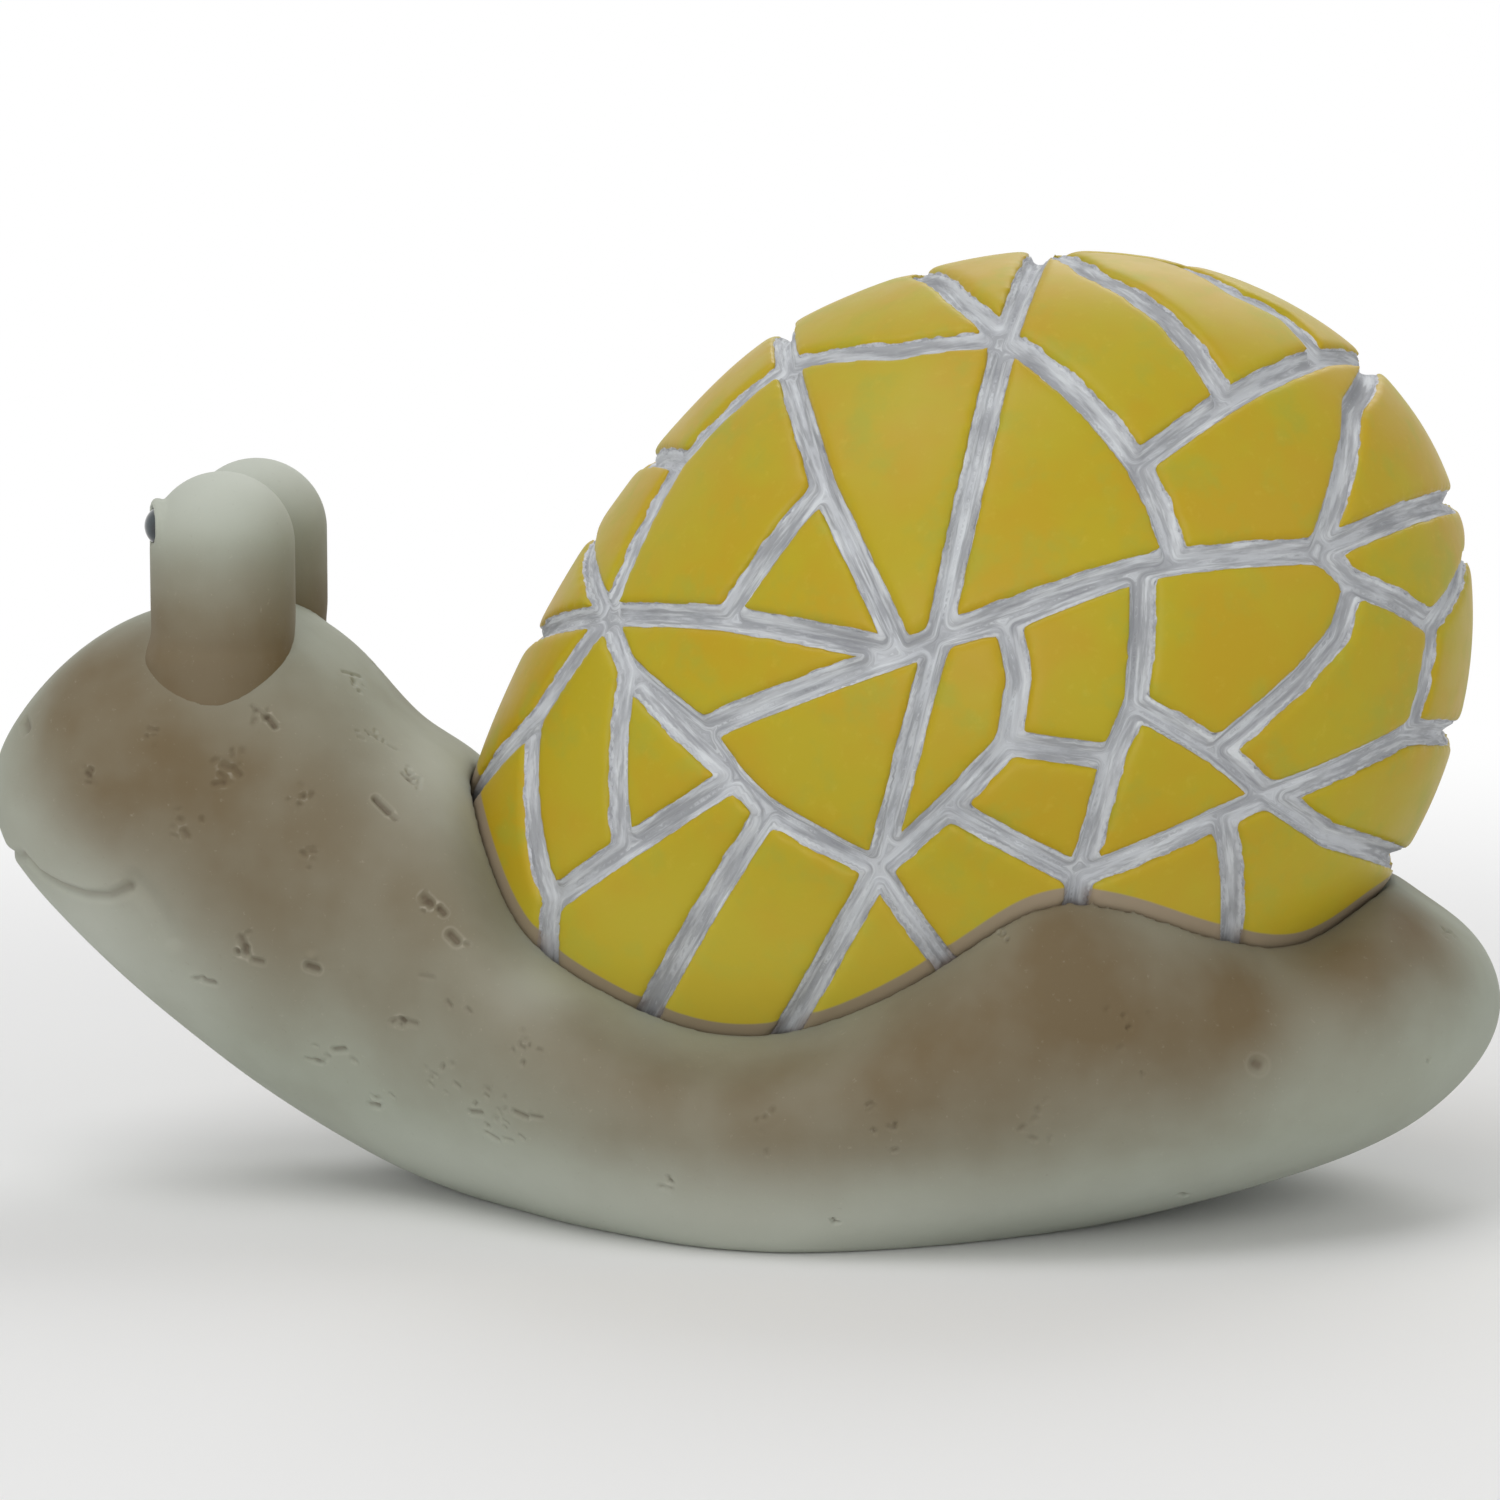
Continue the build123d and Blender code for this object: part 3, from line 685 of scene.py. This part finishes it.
# The tiles' paint, in the same way, and how raggedly it stops at the joint
TILE_CLOUD = 22.0
TILE_DRIFT = 9.0
DRIFT_SHIFT = 0.7
OLIVE_SPAN = (0.48, 0.7)
OLIVE_SHARE = 0.6
TILE_BRUSH = 2.2
BRUSHED_SPAN = (0.55, 0.75)
BRUSHED_SHARE = 0.14
RAGGED_LENGTH = 3.6
RAGGED_REACH = 0.34
TILE_RIM_SPAN = (-0.3, -0.12)
TILE_SEAM_SPAN = (0.22, 0.4)
TILE_SEAM_SHARE = 0.9
TILE_DULLNESS = (0.38, 0.48)
TILE_BUMPS = (0.12, 0.12)


def tile_material():
    """Satin yellow paint that stops raggedly at the joint, where the grey begins, lighter low down
    as painted fill light and brown at the seam as painted shade.
    """
    paint, tree, shader = new_material("yellow_tile_paint")
    cloud = grain(tree, TILE_CLOUD, detail=3, roughness=0.6)
    drift = grain(tree, TILE_DRIFT, detail=4, roughness=0.6, W=DRIFT_SHIFT)
    colour = blend(tree, ramp(tree, cloud, *MIDDLE_SPAN), TILE_YELLOW, TILE_GOLD)
    colour = blend(tree, ramp(tree, drift, *OLIVE_SPAN, 0, OLIVE_SHARE), colour, TILE_OLIVE)
    # Painted fill light on the lower tiles
    colour = blend(tree, marked(tree, "light"), colour, TILE_FILL_LIGHT)
    brush = grain(tree, TILE_BRUSH, detail=5, roughness=0.7)
    brushed = ramp(tree, brush, *BRUSHED_SPAN, 0, BRUSHED_SHARE)
    colour = blend(tree, brushed, colour, TILE_BRUSHED)
    ragged = grain(tree, RAGGED_LENGTH, detail=3)
    ragged = ramp(tree, ragged, *WIDE_SPAN, -RAGGED_REACH, RAGGED_REACH)
    edge = math_of(tree, "ADD", marked(tree, "inset"), ragged)
    rim = blend(tree, ramp(tree, brush, *NARROW_SPAN), TILE_RIM_GREY, TILE_RIM_WHITE)
    colour = blend(tree, ramp(tree, edge, *TILE_RIM_SPAN, 1, 0), colour, rim)
    # Brown band along the lip, which is also painted shade in the seam
    seam = ramp(tree, marked(tree, "seam"), *TILE_SEAM_SPAN, 0, TILE_SEAM_SHARE)
    colour = blend(tree, seam, colour, TILE_SEAM_BROWN_SHADE)
    tree.links.new(colour, shader.inputs["Base Color"])
    dull = ramp(tree, drift, *WIDE_SPAN, *TILE_DULLNESS)
    tree.links.new(dull, shader.inputs["Roughness"])
    shader.inputs["Specular IOR Level"].default_value = PAINT_SPECULAR
    roughen(tree, shader, math_of(tree, "ADD", brush, cloud), *TILE_BUMPS)
    return paint


# The joints' paint: the length and the number of its brush marks, and the rest in the same way
BROAD_STROKES = (10.0, 1.8)
THIN_STROKES = (7.0, 3.6)
WHITE_STROKE_SPAN = (0.5, 0.64)
WHITE_STROKE_SHARE = 0.42
DARK_STROKE_SPAN = (0.46, 0.34)
DARK_STROKE_SHARE = 0.28
JOINT_SEAM_SHARE = 0.85
JOINT_DULLNESS = 0.7
JOINT_BUMPS = (0.2, 0.15)


def strokes(tree, length, count):
    """Brush marks of a length in millimetres, so many from a joint's wall to its middle."""
    across = math_of(tree, "MULTIPLY", marked(tree, "groove"), count * length * MM)
    return grain(tree, length, detail=4, roughness=0.6, W=across)


def joint_material():
    """Grey grout paint with dark and white brush marks along each joint, and brown painted shade
    where it meets the casting.
    """
    paint, tree, shader = new_material("grey_grout_paint")
    broad = strokes(tree, *BROAD_STROKES)
    colour = blend(tree, ramp(tree, broad, *NARROW_SPAN), JOINT_GREY, JOINT_PALE)
    thin = strokes(tree, *THIN_STROKES)
    white = ramp(tree, thin, *WHITE_STROKE_SPAN, 0, WHITE_STROKE_SHARE)
    colour = blend(tree, white, colour, JOINT_WHITE)
    dark = ramp(tree, thin, *DARK_STROKE_SPAN, 0, DARK_STROKE_SHARE)
    colour = blend(tree, dark, colour, JOINT_DARK)
    # Brown that is also painted shade where the joint meets the casting
    seam = ramp(tree, marked(tree, "seam"), 0, 1, 0, JOINT_SEAM_SHARE)
    colour = blend(tree, seam, colour, JOINT_SEAM_BROWN_SHADE)
    tree.links.new(colour, shader.inputs["Base Color"])
    shader.inputs["Roughness"].default_value = JOINT_DULLNESS
    shader.inputs["Specular IOR Level"].default_value = PAINT_SPECULAR
    roughen(tree, shader, math_of(tree, "ADD", broad, thin), *JOINT_BUMPS)
    return paint


# The parts inside: how high their mottle stands
MOTTLE_HEIGHT = 0.1


def plain_material(name, first, second, length, roughness, bump, metal=0.0):
    """A finish for the parts inside: two tones, mottled, with fine bumps."""
    paint, tree, shader = new_material(name)
    mottle = grain(tree, length, detail=4, roughness=0.6)
    colour = blend(tree, ramp(tree, mottle, *MIDDLE_SPAN), first, second)
    tree.links.new(colour, shader.inputs["Base Color"])
    shader.inputs["Roughness"].default_value = roughness
    shader.inputs["Metallic"].default_value = metal
    roughen(tree, shader, mottle, bump, MOTTLE_HEIGHT)
    return paint


# The beads: the length of the tint's noise, and how dull the glass and its coat are
BEAD_TINT = 3.0
BEAD_DULLNESS = 0.08
BEAD_COAT = 0.6
COAT_DULLNESS = 0.03


def bead_material():
    """Black glass with a faint blue-green depth."""
    paint, tree, shader = new_material("black_bead_gloss")
    tint = grain(tree, BEAD_TINT, detail=2)
    colour = blend(tree, ramp(tree, tint, *MIDDLE_SPAN), BEAD_BLACK, BEAD_TEAL)
    tree.links.new(colour, shader.inputs["Base Color"])
    shader.inputs["Roughness"].default_value = BEAD_DULLNESS
    shader.inputs["Coat Weight"].default_value = BEAD_COAT
    shader.inputs["Coat Roughness"].default_value = COAT_DULLNESS
    return paint


resin = resin_material()
tile_paint = tile_material()
joint_paint = joint_material()


def settle(piece, material, slot, *replaced):
    """Gives a piece its finish and its place in the frame."""
    piece.data.materials.append(material)
    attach(piece, "root")
    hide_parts(*replaced)


# The stalks


def stub(name, side):
    """A stalk's foot, a little fatter, so that the head closes round it."""
    form = bmesh.new()
    form.from_mesh(nodes[name].data)
    bmesh.ops.remove_doubles(form, verts=form.verts, dist=WELD_GAP * MM)
    axis = Vector((STALK_X, side * STALK_Y, 0)) * MM
    growth = 1 + STUB_GROWTH / STALK_RADIUS
    for vertex in form.verts:
        vertex.co.x = axis.x + (vertex.co.x - axis.x) * growth
        vertex.co.y = axis.y + (vertex.co.y - axis.y) * growth
    everything = form.verts[:] + form.edges[:] + form.faces[:]
    cut = bmesh.ops.bisect_plane(form, geom=everything, plane_co=(0, 0, STUB_TOP * MM),
                                 plane_no=(0, 0, 1), clear_outer=True)
    rim = [item for item in cut["geom_cut"] if isinstance(item, bmesh.types.BMEdge)]
    bmesh.ops.holes_fill(form, edges=rim)
    mesh = bpy.data.meshes.new(name + "_stub")
    form.to_mesh(mesh)
    form.free()
    return mesh


def make_stalk(name):
    """One eye stalk, with its lid softened into it."""
    piece = even_piece(name.replace("eye_stalk", "stalk"), [nodes[name].data], STALK_VOXEL)
    mesh = piece.data
    points = smoothed(points_of(mesh), edges_of(mesh), STALK_SMOOTHING)
    place_points(mesh, points)
    heights = points[:, 2]
    axis = np.array((STALK_X, math.copysign(STALK_Y, points[:, 1].mean())))
    out = points[:, :2] - axis
    out /= np.maximum(np.linalg.norm(out, axis=1), 1)[:, None]
    cheek = np.array((-math.cos(FOOT_HEADING), np.sign(axis[1]) * math.sin(FOOT_HEADING)))
    swell = FOOT_SWELL * smooth_step(heights, *FOOT_RUN)
    swell *= np.maximum(out @ cheek, 0) ** FOOT_NARROWNESS
    bell = np.exp(-((heights - CREASE_HEIGHT) / CREASE_WIDTH) ** 2)
    points[:, :2] += out * (swell - CREASE_DEPTH * bell)[:, None]
    place_points(mesh, points)
    # Brown paint low on the stalk that is also painted shade, and pale paint at its top that is
    # also a painted highlight
    mark(mesh, "brown", smooth_step(heights, *STALK_BROWN_SHADE_HEIGHTS))
    mark(mesh, "pale", STALK_PALE_HIGHLIGHT * smooth_step(heights, *STALK_HIGHLIGHT_HEIGHTS))
    # Painted shade low on the foot and in its crease
    shade = smooth_step(heights, *SHADE_RUN)
    mark(mesh, "pit", FOOT_SHADE * np.maximum(shade, bell))
    settle(piece, resin, "taupe_resin", name)


# The casting


def make_body():
    """Head, foot and tail, with the mouth, the pits and the airbrushed paint."""
    stubs = [stub("eye_stalk_left", -1), stub("eye_stalk_right", 1)]
    piece = even_piece("snail_body", [nodes["body"].data] + stubs, BODY_VOXEL)
    mesh = piece.data
    points = smoothed(points_of(mesh), edges_of(mesh), BODY_SMOOTHING)
    place_points(mesh, points)
    lines = relief_lines()
    refine(mesh, points, lines)
    points = smoothed(points_of(mesh), edges_of(mesh), FINE_SMOOTHING)
    place_points(mesh, points)
    outward = normals_of(mesh)

    for side in (-1, 1):
        axis = np.array((STALK_X, side * STALK_Y))
        from_axis = points[:, :2] - axis
        gap = np.linalg.norm(from_axis, axis=1)
        close = np.flatnonzero((gap < STUB_REACH) & (points[:, 2] > STUB_BOTTOM))
        rise = np.abs(reach_to(body_tree, points[close], STUB_RISE_LIMIT))
        shrink = STUB_SHRINK * smooth_step(rise, *STUB_RUN)
        points[close, :2] -= from_axis[close] / gap[close, None] * shrink[:, None]

    depths, shades = relief(points, lines)
    points -= outward * depths[:, None]
    points[:, 2] = np.maximum(points[:, 2], 0)
    place_points(mesh, points)

    # Brown paint, which is also painted shade under the shell's lip, round the stalks and in the
    # tail's crease
    mark(mesh, "brown", sprayed(points, BROWN_AND_SHADE_SPRAYS))
    # Paler low down, which is also painted fill light from the floor
    low = LOW_PALE_FILL_LIGHT * smooth_step(points[:, 2], *LOW_FILL_LIGHT_RUN)
    mark(mesh, "pale", 1 - (1 - sprayed(points, PALE_SPRAYS)) * (1 - low))
    # Painted shade in the lines and dents, and a painted highlight round the dents
    mark(mesh, "pit", shades)
    settle(piece, resin, "taupe_resin", "body")


# The mosaic


def near_casting(points, limit):
    """How near to the casting each point lies, from 0 at a limit to 1 on it."""
    share = np.zeros(len(points))
    low = points[:, 2] < RIM_TOP
    share[low] = 1 - np.clip(np.abs(reach_to(body_tree, points[low], limit)) / limit, 0, 1)
    return share


def wall_tree(name):
    """The side walls of a tile's CAD node, for finding the nearest one."""
    mesh = nodes[name].data
    corners = [vertex.co.copy() for vertex in mesh.vertices]
    walls = []
    for face in mesh.polygons:
        rise = (face.center - TILE_HEART).normalized()
        if abs(face.normal.dot(rise)) < WALL_LEAN:
            walls.append(list(face.vertices))
    return BVHTree.FromPolygons(corners, walls)


def make_tile(name):
    """One tile node's visible piece, with its edges worn round."""
    piece = even_piece(name.replace("mosaic_tile", "tile"), [nodes[name].data], TILE_VOXEL)
    mesh = piece.data
    points = smoothed(points_of(mesh), edges_of(mesh), TILE_SMOOTHING)
    place_points(mesh, points)
    outward = normals_of(mesh)
    face = smooth_step(shell_depth(points), *TILE_FACE_RUN)
    dip = TILE_WAVE * (1 + waves(points, TILE_WAVE_LENGTH, SEED)) / 2
    points -= outward * (face * dip)[:, None]
    place_points(mesh, points)
    inset = np.abs(reach_to(wall_tree(name), points, INSET_LIMIT))
    mark(mesh, "inset", inset - np.maximum(shell_depth(points) - EDGE_ROUND, 0))
    # Near the casting: brown band that is also painted shade in the seam
    mark(mesh, "seam", near_casting(points, TILE_SEAM))
    # Painted fill light, stronger on the lower tiles
    mark(mesh, "light", PAINTED_FILL_LIGHT_SHARE * smooth_step(points[:, 2], *PAINTED_FILL_LIGHT_RUN))
    settle(piece, tile_paint, "yellow_tile", name)


def directed(places):
    """From the shell's centre to its face, through each of some places round it."""
    directions = np.array(places)
    directions /= np.linalg.norm(directions, axis=1)[:, None]
    return directions * growth_to_face(directions)[:, None]


def sunk(away, depth):
    """Points at a depth below the shell's face."""
    length = np.linalg.norm(away, axis=1)
    return SHELL_CENTRE + away * (1 - depth / length)[:, None]


def make_grout():
    """The joints between the tiles: rounded valleys that climb the tiles' walls."""
    grout = tree_of(["shell_grout"])
    tiles = tree_of(tile_nodes)
    form = bmesh.new()
    bmesh.ops.create_icosphere(form, subdivisions=GROUT_SUBDIVISIONS, radius=1)
    away = directed([vertex.co for vertex in form.verts])
    far = np.abs(reach_to(grout, sunk(away, JOINT_DEPTH), FIRST_SEARCH)) > FIRST_LAP
    form.verts.ensure_lookup_table()
    spare = [form.verts[index] for index in np.flatnonzero(far)]
    bmesh.ops.delete(form, geom=spare, context="VERTS")
    bmesh.ops.subdivide_edges(form, edges=form.edges[:], cuts=1, use_grid_fill=True)

    away = directed([vertex.co for vertex in form.verts])
    floor = sunk(away, JOINT_DEPTH)
    kept = np.abs(reach_to(grout, floor, JOINT_LAP + SEARCH_MARGIN)) < JOINT_LAP
    gap = np.abs(reach_to(tiles, floor, JOINT_HALF_WIDTH + SEARCH_MARGIN))
    above = sunk(away, -COVER_REACH)
    for index in np.flatnonzero(kept):
        ahead = Vector(-away[index]).normalized()
        over = tiles.ray_cast(Vector(above[index] * MM), ahead, 2 * COVER_REACH * MM)[0]
        if over is not None:
            gap[index] = 0
    groove = gap / JOINT_HALF_WIDTH
    rise = 1 - np.sin(np.clip(groove, 0, 1) * math.pi / 2)
    depth = JOINT_DEPTH - (JOINT_DEPTH - JOINT_EDGE_DEPTH) * rise
    depth += JOINT_WAVE * waves(floor, JOINT_WAVE_LENGTH, SEED + 1)
    points = sunk(away, depth)
    for vertex, point in zip(form.verts, points):
        vertex.co = Vector(point * MM)
    form.verts.ensure_lookup_table()
    spare = [form.verts[index] for index in np.flatnonzero(~kept)]
    bmesh.ops.delete(form, geom=spare, context="VERTS")
    mesh = bpy.data.meshes.new("grout_joints")
    form.to_mesh(mesh)
    form.free()
    mark(mesh, "groove", groove[kept])
    mark(mesh, "seam", near_casting(points[kept], JOINT_SEAM))
    thickness = (JOINT_FLOOR - JOINT_DEPTH) * MM
    thicken = ("SOLIDIFY", {"thickness": thickness, "offset": -1.0})
    piece = finished(new_piece("grout_joints", mesh), thicken)
    settle(piece, joint_paint, "grout", "shell_grout")


make_body()
for stalk_name in ("eye_stalk_left", "eye_stalk_right"):
    make_stalk(stalk_name)
for tile_name in tile_nodes:
    make_tile(tile_name)
make_grout()


# The CAD nodes that stay, each with its finish

steel = plain_material("pin_steel_finish", STEEL_GREY, STEEL_LIGHT, length=2, roughness=0.32,
                       bump=0.05, metal=1.0)
inner = plain_material("core_resin_finish", CORE_CREAM, CORE_PALE, length=8, roughness=0.8,
                       bump=0.3)
under = plain_material("base_resin_finish", BASE_TAUPE, BASE_LIGHT, length=6, roughness=0.75,
                       bump=0.25)
gloss = bead_material()
KEPT_FINISHES = {
    "base_plate": under, "shell_core": inner,
    "shell_dowel_front": inner, "shell_dowel_rear": inner,
    "stalk_pin_left": steel, "stalk_pin_right": steel,
    "eye_bead_left": gloss, "eye_bead_right": gloss,
}
for node_name, finish in KEPT_FINISHES.items():
    kept_node = nodes[node_name]
    for material_slot in kept_node.material_slots:
        material_slot.material = finish

# The camera

camera_data = bpy.data.cameras.new("photo_camera")
camera_data.sensor_width = SENSOR_WIDTH
camera_data.lens = FOCAL_PIXELS / PHOTO_PIXELS * SENSOR_WIDTH
camera_data.clip_end = CAMERA_VIEW_METRES
camera = bpy.data.objects.new("photo_camera", camera_data)
bpy.context.scene.collection.objects.link(camera)
camera.location = CAMERA_PLACE * MM
camera.rotation_euler = CAMERA_BACK.to_track_quat("Z", "Y").to_euler()
bpy.context.scene.camera = camera

# The floor, in metres

FLOOR_SIZE = 12.0
FLOOR_FADE = (0.2, 0.6)
FLOOR_SEGMENTS = 4
FLOOR_DULLNESS = 0.9
FLOOR_SPECULAR = 0.1


def make_floor():
    """A pale floor that keeps the shadow and runs out into the white background."""
    form = bmesh.new()
    bmesh.ops.create_grid(form, x_segments=FLOOR_SEGMENTS, y_segments=FLOOR_SEGMENTS,
                          size=FLOOR_SIZE / 2)
    mesh = bpy.data.meshes.new("studio_floor")
    form.to_mesh(mesh)
    form.free()
    floor = new_piece("studio_floor", mesh)
    paint, tree, shader = new_material("floor_paper")
    shader.inputs["Base Color"].default_value = FLOOR_PAPER
    shader.inputs["Roughness"].default_value = FLOOR_DULLNESS
    shader.inputs["Specular IOR Level"].default_value = FLOOR_SPECULAR
    white = add(tree, "Emission", {"Color": WHITE, "Strength": 1.0})
    rays = add(tree, "LightPath").outputs
    seen = math_of(tree, "MAXIMUM", rays["Is Camera Ray"], rays["Is Glossy Ray"])
    far = add(tree, "VectorMath", {0: place(tree)}, operation="LENGTH").outputs["Value"]
    share = math_of(tree, "MULTIPLY", seen, ramp(tree, far, *FLOOR_FADE))
    mixed = add(tree, "MixShader", {0: share, 1: shader.outputs["BSDF"],
                                    2: white.outputs["Emission"]})
    end = next(item for item in tree.nodes if item.type == "OUTPUT_MATERIAL")
    tree.links.new(mixed.outputs["Shader"], end.inputs["Surface"])
    mesh.materials.append(paint)


make_floor()

# The light: a pale room that the camera sees as white, and soft boxes

AMBIENT = 0.42

# Each box: its name, place and size in metres, and watts
SOFT_BOXES = (
    ("key_box", (-0.6, -0.6, 1.8), 1.3, 12.0),
    ("side_box", (1.3, -0.9, 0.9), 1.2, 3.0),
    ("low_box", (-0.3, -1.7, 0.2), 1.3, 12.0),
    ("back_box", (0.3, 1.2, 1.4), 1.2, 9.0),
)


def make_light():
    """Soft boxes in a pale room."""
    aim = CAMERA_TARGET * MM
    for name, spot, size, power in SOFT_BOXES:
        lamp_data = bpy.data.lights.new(name, "AREA")
        lamp_data.shape = "SQUARE"
        lamp_data.size = size
        lamp_data.energy = power
        lamp = bpy.data.objects.new(name, lamp_data)
        bpy.context.scene.collection.objects.link(lamp)
        lamp.location = spot
        lamp.rotation_euler = (Vector(spot) - aim).to_track_quat("Z", "Y").to_euler()
    room = bpy.data.worlds.new("pale_room")
    room.use_nodes = True
    tree = room.node_tree
    tree.nodes.clear()
    dim = add(tree, "Background", {"Color": WHITE, "Strength": AMBIENT})
    white = add(tree, "Background", {"Color": WHITE, "Strength": 1.0})
    rays = add(tree, "LightPath").outputs
    seen = math_of(tree, "MAXIMUM", rays["Is Camera Ray"], rays["Is Glossy Ray"])
    seen = math_of(tree, "MAXIMUM", seen, rays["Is Transmission Ray"])
    mixed = add(tree, "MixShader", {0: seen, 1: dim.outputs["Background"],
                                    2: white.outputs["Background"]})
    end = tree.nodes.new("ShaderNodeOutputWorld")
    tree.links.new(mixed.outputs["Shader"], end.inputs["Surface"])
    bpy.context.scene.world = room


make_light()
bpy.context.scene.view_settings.view_transform = "Standard"
